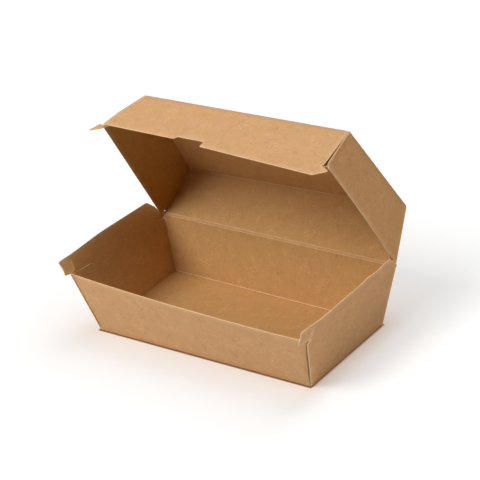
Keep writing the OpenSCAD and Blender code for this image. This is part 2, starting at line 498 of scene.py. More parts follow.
class BoardShape:
    def __init__(self, settings):
        self.thick = settings.thickness * MM
        self.radius = settings.fold_radius * MM
        self.flap = settings.flap_length * MM
        self.seam = settings.seam * MM
        self.grid = settings.grid * MM
        self.relief = 0.85

    def seam_at(self, share):
        """Opening of a glued corner's seam, widest near its middle."""
        narrow = 0.2
        return narrow + (self.seam - narrow) * math.sin(math.pi * clamp(0.12 + 0.75 * share))

    def corner_shift(self, corners, level, deep, across):
        """How far a point moves with the eight corners of its half of the box. level rises from
        0 at the low corners to 1 at the high ones, deep from the back to the front, and across
        from the left to the right."""
        moved = Vector()
        for (height, row, end), shift in corners.items():
            up = level if height == "high" else 1 - level
            fore = deep if row == "front" else 1 - deep
            share = across if end == "right" else 1 - across
            moved += Vector(shift) * (up * fore * share)
        return moved


class TrayShape(BoardShape):
    def __init__(self, board, tray):
        super().__init__(board)
        self.height = HINGE[2] * MM
        self.half = tray.rim_length * MM / 2
        self.depth = tray.rim_depth * MM
        self.base_half = tray.base_length * MM / 2
        self.back_slope = tray.back_slant * MM / self.height
        front_run = self.depth - tray.base_depth * MM - tray.back_slant * MM
        self.front_slope = front_run / self.height
        self.end_slope = (self.half - self.base_half) / self.height
        self.wing_slope = math.tan(math.atan(self.end_slope) + tray.wing_flare)
        self.wing = tray.wing_height * MM - 0.15
        self.setback = tray.wing_setback * MM
        self.reach = tray.ear_reach * MM
        self.bend = {"left": tray.left_ear_bend, "right": tray.right_ear_bend}

    def front(self, z):
        return -self.depth - z * self.front_slope

    def back(self, z):
        return z * self.back_slope

    def end(self, z):
        return self.half + z * (self.wing_slope if z > 0 else self.end_slope)

    def inner_end(self, z):
        """Where a flap lies inside the end wall."""
        return self.end(z) - self.thick * math.hypot(1, self.end_slope)

    def bent_ear(self, point, side):
        """An ear bends inwards along a line that rises forwards from the end of its slit."""
        along = -self.depth - point.y - EAR_BEND_START[0]
        above = point.z - EAR_BEND_START[1]
        forward, down = EAR_BEND_ACROSS
        reach = along * forward - above * down
        if reach <= 0:
            return point
        eased = reach * reach / 3 if reach < 1.5 else reach - 0.75
        sign = -1 if point.x < 0 else 1
        lean = eased * math.sin(self.bend[side])
        short = eased * (1 - math.cos(self.bend[side]))
        inward = Vector((-sign, 0, self.wing_slope)).normalized()
        return point + inward * lean + Vector((0, forward * short, down * short))

    def warp(self, point, part):
        """The board isn't quite true: its corners stand where the photographed ones do."""
        side = "left" if point.x < 0 else "right"
        if part == "ear":
            point = self.bent_ear(point, side)
        x, y, z = point
        level = clamp(z / self.height + 1)
        across = clamp((x / self.end(z) + 1) / 2, -0.02, 1.02)
        deep = clamp((self.back(z) - y) / (self.back(z) - self.front(z)), 0, 1)
        moved = self.corner_shift(TRAY_CORNERS, level, deep, across)
        if part == "front":
            bowed = (4 * max(across * (1 - across), 0)) ** 0.7
            moved += FRONT_BOW * (bowed * level * level)
        if side == "left" and part == "wing":
            moved += WING_LIFT * (smooth((y + 107) / 50) * smooth((z + 2) / 11))
        if side == "right" and part == "wing":
            moved.x += WING_OUT * (1 - deep) * level * (1 - smooth((z - 4) / 6))
        if side == "right" and part in ("wing", "ear"):
            forward = smooth((self.front(0) + 14 - y) / 14)
            wave = math.cos((y + 37.5) * 2 * math.pi / WAVE_LENGTH) * smooth((y + 48) / 8)
            wave *= WING_WAVE * smooth(-(y + 7) / 5)
            moved.x -= smooth((z - 1) / 9) * (WING_TURN * forward + wave)
        return to_box(point + moved)


# How far each corner of the tray stands from its true place, in mm. The low ones are those of the
# base
TRAY_CORNERS = {
    ("low", "front", "left"): (1.83, -0.95, 0),
    ("low", "front", "right"): (-0.76, 1.53, 0),
    ("low", "back", "left"): (-2.08, 0.9, 0),
    ("low", "back", "right"): (0.84, -1.9, 0),
    ("high", "front", "left"): (0, 1.36, 2.02),
    ("high", "front", "right"): (-0.48, -1.1, -0.96),
    ("high", "back", "left"): (0.21, -0.01, -0.31),
    ("high", "back", "right"): (-0.2, -0.37, -0.36),
}
# The end of the slit behind an ear: forward of the rim's corner, and above the rim
EAR_BEND_START = (-5.8, 7.5)
# The direction across the line along which an ear bends: forward and down
EAR_BEND_ACROSS = (0.551, 0.834)
# How far the middle of the tray's front rim is bowed, and how far the front of the left wing is
# lifted, in mm
FRONT_BOW = Vector((0, -1.3, -1.5))
WING_LIFT = Vector((0, -1.6, 2.4))
# The right wing, in mm: how far its back stands out at the rim, how far its front turns in, how
# high its waves are and how long
WING_OUT = 1.1
WING_TURN = 1.5
WING_WAVE = 0.55
WAVE_LENGTH = 22
# How far each corner of the lid stands from its true place, in mm. The high ones are those of the
# top panel, and the low ones at the back are the tray's
LID_CORNERS = {
    ("low", "front", "left"): (-1.7, -1.2, 0.7),
    ("low", "front", "right"): (0.56, 1.17, 1.34),
    ("low", "back", "left"): TRAY_CORNERS["high", "back", "left"],
    ("low", "back", "right"): TRAY_CORNERS["high", "back", "right"],
    ("high", "front", "left"): (-2.4, 0.4, 0),
    ("high", "front", "right"): (1.0, 0.4, -0.77),
    ("high", "back", "left"): (-0.44, -1.05, -1.12),
    ("high", "back", "right"): (4.2, 0.01, 2.6),
}
# How far the free edge of the lid's right end wall bulges in its middle, in mm
END_BULGE = 1.2
# How much further the end walls of the lid stand from it next to the crease
LID_END_SPREAD = {"left": (-0.5, -2.1, -1.0), "right": (1.42, 0.93, 0)}


def to_box(point):
    """From the frame of the crease to the frame of the whole box."""
    return Vector((point.x, point.y + HINGE[1] * MM, point.z + HINGE[2] * MM))


def opened(point):
    """From the shut lid to the open one, in the frame of the crease."""
    turn = math.radians(REST_ANGLE)
    y = point.y * math.cos(turn) + point.z * math.sin(turn)
    z = -point.y * math.sin(turn) + point.z * math.cos(turn)
    return Vector((point.x, y, z))


# What the tray and the lid have alike. A wall is kept as the point and the flat place for (x, z),
# the end of the wall at a height, how far its fold with a flap reaches, and its outward direction

Wall = namedtuple("Wall", "place flat side fold_in outward")


def level_panel(sheet, part, shape, z, rows, insets, half_at, in_end, steps, outward):
    """The base or the top panel. rows and insets are for its front and its back: where the sharp
    corner lies, and how far the fold reaches in. half_at is its half length at y, and steps are
    those of its front, back and end folds. Returns the function that places its points."""
    front, back = rows
    relief = shape.relief
    end_front = half_at(front + relief) - in_end
    end_back = half_at(back - relief) - in_end

    def on_panel(x, y):
        return Vector((x, y, z))

    sheet.panel(part, [
        (-half_at(front) + relief, front + insets[0], steps[0]),
        (half_at(front) - relief, front + insets[0], -1),
        (end_front, front + relief, steps[2]),
        (end_back, back - relief, -1),
        (half_at(back) - relief, back - insets[1], steps[1]),
        (-half_at(back) + relief, back - insets[1], -1),
        (-end_back, back - relief, steps[2]),
        (-end_front, front + relief, -1),
    ], on_panel, lambda x, y: (x, y), outward)
    return on_panel


def wall_fold(sheet, part, steps, half, rows, on_panel, on_wall, wall_start, outward):
    """The fold of a level panel with its front or back wall. rows are the y of the fold's start,
    of its sharp corner and of its end on the flat sheet."""
    start, corner, end = rows

    def x_at(t):
        return -half + 2 * half * t

    return sheet.rounded_fold(
        part, steps,
        lambda t: on_panel(x_at(t), start),
        lambda t: on_panel(x_at(t), corner),
        lambda t: on_wall(x_at(t), wall_start),
        lambda t: (x_at(t), start),
        lambda t: (x_at(t), end),
        outward)


def end_fold(sheet, part, steps, s, span, half_at, inset, on_panel, on_end, start, flat, outward):
    """The fold of a level panel with an end wall. half_at is the panel's half length at y."""
    def y_at(t):
        return span[0] + (span[1] - span[0]) * t

    def inner(t):
        return s * (half_at(y_at(t)) - inset)

    return sheet.rounded_fold(
        part, steps,
        lambda t: on_panel(inner(t), y_at(t)),
        lambda t: on_panel(s * half_at(y_at(t)), y_at(t)),
        lambda t: on_end(y_at(t), start),
        lambda t: (inner(t), y_at(t)),
        lambda t: flat(y_at(t), start),
        outward)


def glued_flap(sheet, part, s, steps, reach, wall, on_flap, outline, outward):
    """A flap that turns the corner from a wall and lies glued inside the end wall. on_flap takes
    the distance from the corner, away from the wall, and the height."""
    low, high = reach
    start = wall.fold_in * FLAP_START

    def flat_flap(d, z):
        x, y = wall.flat(s * wall.side(z), z)
        return (x + s * (d - 0.3), y)

    def edge_z(t):
        return low + (high - low) * t

    def fold_x(t):
        return s * (wall.side(edge_z(t)) - wall.fold_in)

    sheet.rounded_fold(
        part, steps,
        lambda t: wall.place(fold_x(t), edge_z(t)),
        lambda t: wall.place(s * wall.side(edge_z(t)), edge_z(t)),
        lambda t: on_flap(start, edge_z(t)),
        lambda t: wall.flat(fold_x(t), edge_z(t)),
        lambda t: flat_flap(start, edge_z(t)),
        outward + wall.outward)
    sheet.panel(part, [(start, low, steps), (start, high)] + outline, on_flap, flat_flap, outward)


def flap_gap(d, wall):
    """Share of the seam's opening that is left at a distance d from the corner."""
    return math.exp(-((d - wall.fold_in * FLAP_START) / 4) ** 2)


def corner_caps(sheet, part, s, front, back, rows, up):
    """Closes the two corners at one end, between the folds of the walls and that of the end."""
    for fold, end_row, sign in ((front, rows[0], -1), (back, rows[-1], 1)):
        ring = fold[0 if s < 0 else -1] + end_row[::-1]
        sheet.corner_cap(part, ring, Vector((s, sign, up)))


def tray_strip(sheet, shape):
    """Base, front wall, back wall and end walls, with the folds between them and the flaps."""
    h = shape.height
    base_front = shape.front(-h)
    base_back = shape.back(-h)
    walls = (("front", shape.front, shape.front_slope, -1),
             ("back", shape.back, shape.back_slope, 1))
    insets = [tangent_length(Vector((0, sign, 0)), Vector((0, sign * slope, 1)), shape.radius)
              for _, _, slope, sign in walls]
    in_end = tangent_length(Vector((1, 0, 0)), Vector((shape.end_slope, 0, 1)), shape.radius)
    long_steps = round(2 * shape.base_half / shape.grid)
    end_steps = round((base_back - base_front) / shape.grid)
    on_base = level_panel(sheet, "base", shape, -h, (base_front, base_back), insets,
                          lambda y: shape.base_half, in_end, (long_steps, long_steps, end_steps),
                          Vector((0, 0, -1)))
    front, back = [tray_wall(sheet, shape, *wall, inset, long_steps, on_base)
                   for wall, inset in zip(walls, insets)]
    for s in (LEFT, RIGHT):
        rows = tray_end(sheet, shape, s, end_steps, in_end, on_base)
        corner_caps(sheet, "base", s, front, back, rows, -1)


def tray_wall(sheet, shape, part, line, slope, sign, inset, long_steps, on_base):
    """The front or back wall, its fold with the base, and its flaps inside the end walls."""
    h = shape.height
    slant = math.hypot(1, slope)
    low = -h + inset / slant
    half = shape.base_half - shape.relief
    outward = Vector((0, sign, -slope))
    top = 0 if part == "front" else -0.9
    flap_low, flap_high = -h + 1.15, (-1.3 if part == "front" else -3.0)
    fold_in = shape.radius * FLAP_FOLD
    side_steps = round((flap_high - flap_low) / shape.grid)

    def flat(x, z):
        return (x, line(-h) + sign * ((z + h) * slant))

    def on_wall(x, z):
        return Vector((x, line(z), z))

    def side(z):
        share = 1 + z / h
        open_by = shape.seam_at(share) if part == "front" else 0.3 + 0.9 * share ** 2
        return shape.inner_end(z) - open_by

    top_half = shape.inner_end(top) - 0.12
    right = [
        (side(flap_low) - fold_in, flap_low - 0.2),
        (side(flap_low) - fold_in, flap_low, side_steps),
        (side(flap_high) - fold_in, flap_high),
        (top_half, flap_high + 0.3),
        (top_half, top),
    ]
    nick = [(-19.4, 0.0), (-19.7, -0.35), (-20.5, -0.35), (-20.8, 0.0)]
    if part == "back":
        right[-1] = (top_half, top, -round(2 * top_half / shape.grid))
        nick = []
    outline = [(-half, low, long_steps), (half, low)] + right + nick + mirrored(right)
    sheet.panel(part, outline, on_wall, flat, outward)
    corner = line(-h)
    places = (corner - sign * inset, corner, corner + sign * inset * 0.93)
    rows = wall_fold(sheet, part, long_steps, half, places, on_base, on_wall, low,
                     outward + Vector((0, 0, -1)))
    wall = Wall(on_wall, flat, side, fold_in, outward)
    for s in (LEFT, RIGHT):
        tray_flap(sheet, shape, part, s, sign, line, wall, (flap_low, flap_high), side_steps)
    return rows


def tray_flap(sheet, shape, part, s, sign, line, wall, reach, steps):
    """One of the tray's four flaps. The top of a back flap is sunk so that it lies flush."""
    low, high = reach

    def on_flap(d, z):
        rest = shape.inner_end(z) - FLAP_GAP
        gap = (rest - wall.side(z)) * flap_gap(d, wall)
        sunk = 0.0
        if part == "back":
            top = smooth((z + 7) / 4)
            sunk = FLAP_SINK * max(smooth((d - 5) / 8), top)
            gap *= 1 - 0.7 * top
        return Vector((s * (rest - gap + sunk), line(z) - sign * d, z))

    outline = [
        (shape.flap - 3, high - 0.9),
        (shape.flap, high - 2.8),
        (shape.flap, -0.72 * shape.height),
        (wall.fold_in * FLAP_START + 4, low - 0.4),
    ]
    glued_flap(sheet, part + "_flap", s, steps, reach, wall, on_flap, outline,
               Vector((s, 0, -shape.end_slope)))


def slit_outlines(shape, s):
    """Back and front edge of the slit behind an ear, from its open end to its closed end, and
    the rest of the ear's outline round to the top edge: (forward, up) of the rim's corner."""
    wide = [(-0.5, -2.9), (-2.2, -2.1), (-3.8, -0.8), (-5.0, 1.4), (-5.75, 4.1), (-6.1, 6.6),
            (-6.1, 7.3), EAR_BEND_START]
    front = [EAR_BEND_START, (-5.5, 6.4), (-5.05, 4.3), (-4.2, 2.2), (-3.1, 0.8), (-1.9, 0.0),
             (-0.6, -0.35)]
    narrow = [(-0.2, -0.9), (-1.9, -0.45), (-3.3, 0.4), (-4.5, 1.9), (-5.35, 4.2), (-5.8, 6.3),
              (-6.0, 7.3), EAR_BEND_START]
    back = narrow if s < 0 else wide
    reach = shape.reach
    ear = [(0.9, -0.1), (2.7, -0.3), (4.6, -0.05), (6.4, 0.3), (reach - 0.8, 0.75),
           (reach - 0.25, 1.15), (reach - 0.15, 1.6), (reach - 0.7, 2.9), (reach - 1.6, 4.9),
           (reach - 1.9, 7.4), (reach - 2.1, shape.wing - 1.0), (reach - 2.5, shape.wing - 0.25),
           (reach - 3.3, shape.wing)]
    return back, front, ear


def tray_end(sheet, shape, s, steps, inset, on_base):
    """An end wall with its wing and ear, and the fold that joins it to the base."""
    h = shape.height
    slant = math.hypot(1, shape.end_slope)
    low = -h + inset / slant
    y_front = shape.front(-h) + shape.relief
    y_back = shape.back(-h) - shape.relief
    outward = Vector((s, 0, -shape.end_slope))
    slit_back, slit_front, ear = slit_outlines(shape, s)

    def on_end(y, z):
        return Vector((s * shape.end(z), y, z))

    def flat(y, z):
        return (s * (shape.base_half + (z + h) * slant), y)

    def placed(points):
        return [(-shape.depth - forward, up) for forward, up in points]

    neck = placed([(EAR_BEND_START[0], shape.wing)])[0]
    outline = [
        (y_back, low),
        (shape.back(low) - 0.3, low + 0.6),
        (-0.35, -0.7),
        (-1.0, 0.0),
        (-1.0 - shape.setback * 0.36, shape.wing * 0.53),
    ]
    outline += arc_points((-shape.setback - 1.0, shape.wing - 1.5), 1.5, 40, 90, 4)
    outline += [(*neck, -2)]
    outline += placed(slit_back)[::-1]
    outline += [
        (shape.front(slit_back[0][1] - 0.5) + 0.15, slit_back[0][1] - 0.5),
        (shape.front(low) + 0.15, low + 0.6),
        (y_front, low, steps),
    ]
    sheet.panel("wing", outline, on_end, flat, outward)
    bend_start = placed([EAR_BEND_START])[0]
    ear_loop = [(*bend_start, -2), neck] + placed(ear)[::-1] + placed(slit_front[1:])[::-1]
    sheet.panel("ear", ear_loop, on_end, flat, outward)
    return end_fold(sheet, "wing", steps, s, (y_front, y_back), lambda y: shape.base_half, inset,
                    on_base, on_end, low, flat, outward + Vector((0, 0, -1)))


class LidShape(BoardShape):
    def __init__(self, board, lid, tray):
        super().__init__(board)
        self.height = lid.height * MM
        self.depth = lid.depth * MM
        self.back_slope = lid.back_slant * MM / self.height
        self.front_slope = lid.front_slant * MM / self.height
        self.half = tray.rim_length * MM / 2 - lid.side_gap * MM
        self.toe = math.tan(lid.toe_in)
        self.lean = math.tan(lid.end_lean)
        self.front_slant = math.hypot(1, self.front_slope)
        self.front_length = self.height * self.front_slant
        self.twist = lid.twist * MM

    def end(self, y, z):
        return self.half + y * self.toe - z * self.lean

    def inner_end(self, y, z):
        return self.end(y, z) - self.thick * math.sqrt(1 + self.toe ** 2 + self.lean ** 2)

    def back(self, z):
        return -z * self.back_slope

    def front(self, z):
        return -self.depth + z * self.front_slope

    def front_z(self, v):
        """Height at a distance v from the top fold, along the front wall."""
        return self.height - v / self.front_slant

    def front_end(self, z):
        """The end wall's corner with the front wall."""
        return self.end(self.front(z), z)

    def swing(self, x, v):
        """How far the front wall stands out at its left and in at its right."""
        down = clamp(v / self.front_length, 0, 1.2)
        return -self.twist * x / 92 * down ** 1.2

    def behind_front(self, point):
        """How much painted shade the flap gets where the front wall shades it, next to the left
        corner.
        """
        away = self.front_end(point.z) - abs(point.x)
        near = smooth((away + 0.5) / 1.5) * (1 - smooth((away - 8) / 3))
        return 2 * near * smooth((point.z + 1.6) / 0.8) if point.x < 0 else 0.0

    def warp(self, point, part):
        """The board isn't quite true: its corners stand where the photographed ones do."""
        x, y, z = point
        normal = Vector((0, -1, self.front_slope)).normalized()
        v = (self.height - z) * self.front_slant
        if part == "front":
            point = point + normal * self.swing(x, v)
        if part in ("front_flap", "front_seam"):
            away = smooth((self.front_end(z) - abs(x)) / 4)
            point = point + normal * (min(self.swing(x, v), 0.6) * away)
        across = clamp((x / self.end(y, z) + 1) / 2, -0.02, 1.02)
        level = clamp(z / self.height, -0.15, 1)
        deep = clamp((self.back(z) - y) / (self.back(z) - self.front(z)), 0, 1)
        moved = self.corner_shift(LID_CORNERS, level, deep, across)
        if part in ("end", "back_flap"):
            far = smooth((self.back(z) - y - 3) / 8) if part == "back_flap" else 1.0
            for end, share in (("left", 1 - across), ("right", across)):
                spread = Vector(LID_END_SPREAD[end]) * far
                moved += spread * ((1 - level) * (1 - deep) * share)
        if part == "end" and x > 0:
            moved.x += END_BULGE * 4 * deep * (1 - deep) * (1 - level)
        return to_box(opened(point)) + moved


def lid_panels(sheet, shape):
    """Top panel, back wall, front wall, end walls and flaps of the lid."""
    h = shape.height
    relief = shape.relief
    top_front = shape.front(h)
    top_back = shape.back(h)
    down_back = Vector((0, shape.back_slope, -1))
    down_front = Vector((0, -shape.front_slope, -1))
    in_back = tangent_length(Vector((0, 1, 0)), down_back, shape.radius)
    in_front = tangent_length(Vector((0, -1, 0)), down_front, shape.radius)
    in_end = shape.radius * 0.81
    half_back = shape.end(top_back, h)
    half_front = shape.end(top_front, h)
    steps_back = round(2 * half_back / shape.grid)
    steps_front = round(2 * half_front / shape.grid)
    steps_end = round((top_back - top_front) / shape.grid)
    on_top = level_panel(sheet, "top", shape, h, (top_front, top_back), (in_front, in_back),
                         lambda y: shape.end(y, h), in_end, (steps_front, steps_back, steps_end),
                         Vector((0, 0, 1)))
    back = lid_back_wall(sheet, shape, half_back - relief, steps_back, in_back, on_top)
    front = lid_front_wall(sheet, shape, half_front - relief, steps_front, in_front, on_top)
    for s in (LEFT, RIGHT):
        rows = lid_end_wall(sheet, shape, s, steps_end, in_end, on_top)
        corner_caps(sheet, "top", s, front, back, rows, 1)


def lid_back_wall(sheet, shape, half, steps, inset, on_top):
    """Back wall, from its fold with the top panel down to the crease, and its glued flaps."""
    h = shape.height
    slant = math.hypot(1, shape.back_slope)
    high = h - inset / slant
    low = 1.02
    outward = Vector((0, 1, shape.back_slope))
    fold_in = shape.radius * FLAP_FOLD

    def on_wall(x, z):
        return Vector((x, shape.back(z), z))

    def flat(x, z):
        return (x, shape.back(h) + (h - z) * slant)

    def side(z):
        return shape.inner_end(shape.back(z), z) - shape.seam_at(z / h) * 0.6

    flap_low, flap_high = 2.0, h - 1.2
    side_steps = round((flap_high - flap_low) / shape.grid)
    low_half = shape.inner_end(shape.back(low), low) - 0.05
    bottom_steps = round(2 * low_half / shape.grid)
    right = [
        (side(flap_high) - fold_in, flap_high + 0.2),
        (side(flap_high) - fold_in, flap_high, side_steps),
        (side(flap_low) - fold_in, flap_low),
        (low_half, flap_low - 0.3),
        (low_half, low, -bottom_steps),
    ]
    outline = [(-half, high, steps), (half, high)] + right + mirrored(right)
    sheet.panel("back", outline, on_wall, flat, outward)
    corner = shape.back(h)
    rows = wall_fold(sheet, "back", steps, half, (corner - inset, corner, corner + inset),
                     on_top, on_wall, high, outward + Vector((0, 0, 1)))
    wall = Wall(on_wall, flat, side, fold_in, outward)
    for s in (LEFT, RIGHT):
        lid_flap(sheet, shape, s, wall, (flap_low, flap_high), side_steps)
    return rows


def lid_flap(sheet, shape, s, wall, reach, steps):
    """One of the two flaps of the lid's back wall, sunk so that it lies flush."""
    low, high = reach

    def on_flap(d, z):
        y = shape.back(z) - d
        rest = shape.inner_end(y, z) - FLAP_GAP + FLAP_SINK * smooth((d - 5) / 8)
        gap = shape.inner_end(shape.back(z), z) - FLAP_GAP - wall.side(z)
        return Vector((s * (rest - gap * flap_gap(d, wall)), y, z))

    outline = [
        (wall.fold_in * FLAP_START + 4, high + 0.6),
        (shape.flap, 0.7 * shape.height),
        (shape.flap, low + 1.2),
        (shape.flap - 3, low - 0.4),
    ]
    glued_flap(sheet, "back_flap", s, steps, reach, wall, on_flap, outline,
               Vector((s, 0, shape.lean)))


def lid_front_wall(sheet, shape, half, steps, inset, on_top):
    """Front wall, with the thumb notch in its free edge and the hooked ear at its right."""
    outward = Vector((0, -1, shape.front_slope))

    def on_wall(x, v):
        z = shape.front_z(v)
        return Vector((x, shape.front(z), z))

    def flat(x, v):
        return (x, shape.front(shape.height) - v)

    def right_side(v):
        return shape.front_end(shape.front_z(v)) - 0.5 - 1.9 * clamp(v / 24)

    # Down the right side, round the hooked ear, along the free edge with the thumb notch, and up
    # the left side, each corner with its distance from the top fold
    outline = [
        (-half, inset, steps),
        (half, inset),
        (right_side(3), 3.0),
        (right_side(12), 12.0),
        (right_side(24), 24.0),
        (87.8, 37.1),
        (87.2, 37.7),
        (86.4, 38.6),
        (92.9, 42.3),
        (93.5, 42.9),
        (93.2, 43.4),
        (86.1, 48.7),
        (85.3, 49.1),
        (84.3, 49.0),
        (28.7, 46.2),
        (-5.4, 44.2),
        (-5.5, 39.8),
        (-6.2, 38.9),
        (-7.8, 38.4),
        (-26.7, 38.8),
        (-27.6, 39.4),
        (-28.2, 41.1),
        (-29.6, 41.5),
        (-89.6, 41.1),
        (-90.0, 40.7),
        (-shape.front_end(shape.front_z(24)) - 0.1, 24.0),
        (-shape.front_end(shape.front_z(3)) + 0.3, 3.0),
    ]
    sheet.panel("front", outline, on_wall, flat, outward)
    corner = shape.front(shape.height)
    return wall_fold(sheet, "front", steps, half, (corner + inset, corner, corner - inset),
                     on_top, on_wall, inset, outward + Vector((0, 0, 1)))


def lid_end_wall(sheet, shape, s, steps, inset, on_top):
    """An end wall, its fold with the top panel, and its flap glued behind the front wall. The
    left flap has a tab that stands out below the fold."""
    h = shape.height
    slant = math.sqrt(1 + shape.lean ** 2)
    high = h - inset / slant
    outward = Vector((s, -shape.toe, shape.lean))
    fold_in = shape.radius
    behind = 0.2

    def on_end(y, z):
        return Vector((s * shape.end(y, z), y, z))

    def flat(y, z):
        return (s * (shape.end(y, h) + (h - z) * slant), y)

    def corner(z):
        return shape.front(z) + behind

    flap_low, flap_high = 3.0, h - 1.2
    side_steps = round((flap_high - flap_low) / shape.grid)
    y_front = shape.front(h) + shape.relief
    y_back = shape.back(h) - shape.relief
    outline = [
        (y_front, high, steps),
        (y_back, high),
        (shape.back(high) - 0.3, high - 0.6),
        (shape.back(0.5) - 0.3, 0.3),
        (corner(0.5) + 1.9, 0.5),
        (corner(flap_low) + 1.6, flap_low - 0.5),
        (corner(flap_low) + fold_in, flap_low, side_steps),
        (corner(flap_high) + fold_in, flap_high),
        (corner(flap_high) + fold_in, flap_high + 0.2),
    ]
    sheet.panel("end", outline, on_end, flat, outward)
    rows = end_fold(sheet, "end", steps, s, (y_front, y_back), lambda y: shape.end(y, h), inset,
                    on_top, on_end, high, flat, outward + Vector((0, 0, 1)))
    start = 3.6
    rest = shape.thick * shape.front_slant + 0.15

    def at(d, deep, z):
        """A point at a distance d from the corner, and so deep behind the front wall."""
        y = shape.front(z) + deep
        return Vector((s * (shape.end(y, z) - d), y, z))

    def on_flap(d, z):
        near = smooth((z - flap_low + 3) / 3)
        return at(d, rest + 0.6 * near * math.exp(-((d - start) / 2) ** 2), z)

    def flat_flap(d, z):
        x, y = flat(corner(z), z)
        return (x, y - d + 0.3)

    def edge_z(t):
        return flap_low + (flap_high - flap_low) * t

    # From the corner the flap first turns in, which leaves a seam beside the front wall. first
    # and second are the distances from the corner at which the folds of the seam meet
    first, second, deep = 0.8, 1.4, 1.3
    front_out = Vector((0, -1, shape.front_slope))
    sheet.rounded_fold(
        "front_flap", side_steps,
        lambda t: on_end(corner(edge_z(t)) + fold_in, edge_z(t)),
        lambda t: on_end(corner(edge_z(t)), edge_z(t)),
        lambda t: at(first, behind, edge_z(t)),
        lambda t: flat(corner(edge_z(t)) + fold_in, edge_z(t)),
        lambda t: flat_flap(first, edge_z(t)),
        outward + front_out)
    sheet.rounded_fold(
        "front_seam", side_steps,
        lambda t: at(first, behind, edge_z(t)),
        lambda t: at(second - 0.05, behind, edge_z(t)),
        lambda t: at(second, deep, edge_z(t)),
        lambda t: flat_flap(first, edge_z(t)),
        lambda t: flat_flap(second, edge_z(t)),
        front_out - outward * 0.4)
    sheet.rounded_fold(
        "front_seam", side_steps,
        lambda t: at(second, deep, edge_z(t)),
        lambda t: at(second + 0.1, 2 * deep, edge_z(t)),
        lambda t: on_flap(start, edge_z(t)),
        lambda t: flat_flap(second, edge_z(t)),
        lambda t: flat_flap(start, edge_z(t)),
        front_out)
    loop = [
        (start, flap_low, side_steps),
        (start, flap_high),
        (start + 4, flap_high + 0.6),
        (shape.flap, 0.7 * h),
        (shape.flap, flap_low + 1.4),
        (shape.flap - 3, flap_low + 0.8),
    ]
    if s < 0:
        loop += [(8.0, 3.6), (3.4, 2.4), (0.8, -0.9), (0.2, -1.6), (-5.9, -5.3), (-6.4, -5.4),
                 (-6.5, -4.9), (-4.9, 1.6), (-5.2, 2.1), (2.4, flap_low - 0.5)]
    sheet.panel("front_flap", loop, on_flap, flat_flap, front_out)
    return rows


# Crease between the tray and the lid

# Where the two scored ridges lie, as shares of the way from the tray to the lid
RIDGES = (0.06, 0.94)


def near_ridge(share, width):
    """1 on a scored ridge, falling to 0 on both sides of it."""
    away = min(abs(share - ridge) for ridge in RIDGES)
    return math.exp(-(away / width) ** 2)


def crease_section(tray, lid, crease):
    """Outline of the crease's section in the frame of the crease, for the open lid."""
    tray_down = Vector((0, -tray.back_slope, -1)).normalized()
    lid_up = opened(Vector((0, -lid.back_slope, 1))).normalized()
    start = tray_down * crease.tray_side * MM
    end = lid_up * crease.lid_side * MM
    middle = Vector()
    outer = []
    inner = []
    count = 14
    for i in range(count + 1):
        t = i / count
        place = start * (1 - t) ** 2 + middle * (2 * t * (1 - t)) + end * t * t
        run = (middle - start) * (1 - t) + (end - middle) * t
        inward = Vector((0, -run.z, run.y)).normalized()
        ridge = crease.ridge * MM
        lift = ridge * near_ridge(t, 0.13)
        outer.append(place - inward * (0.05 * math.sin(math.pi * t)))
        inner.append(place + inward * (tray.thick + lift))
    return outer, inner, start, end


# Materials

# Tints of painted shade on the board: where a part's painted shade is 1, on the outside and on the
# inside; where it is 2, the painted shadow in the lid's seam; and the painted shade in a fold
OUTSIDE_SHADE_PAINT = (0.93, 0.85, 0.72)
INSIDE_SHADE_PAINT = (0.78, 0.7, 0.4)
DEEP_SHADE = (0.3, 0.2, 0.12)
FOLD_SHADE_PAINT = (0.8, 0.76, 0.72)


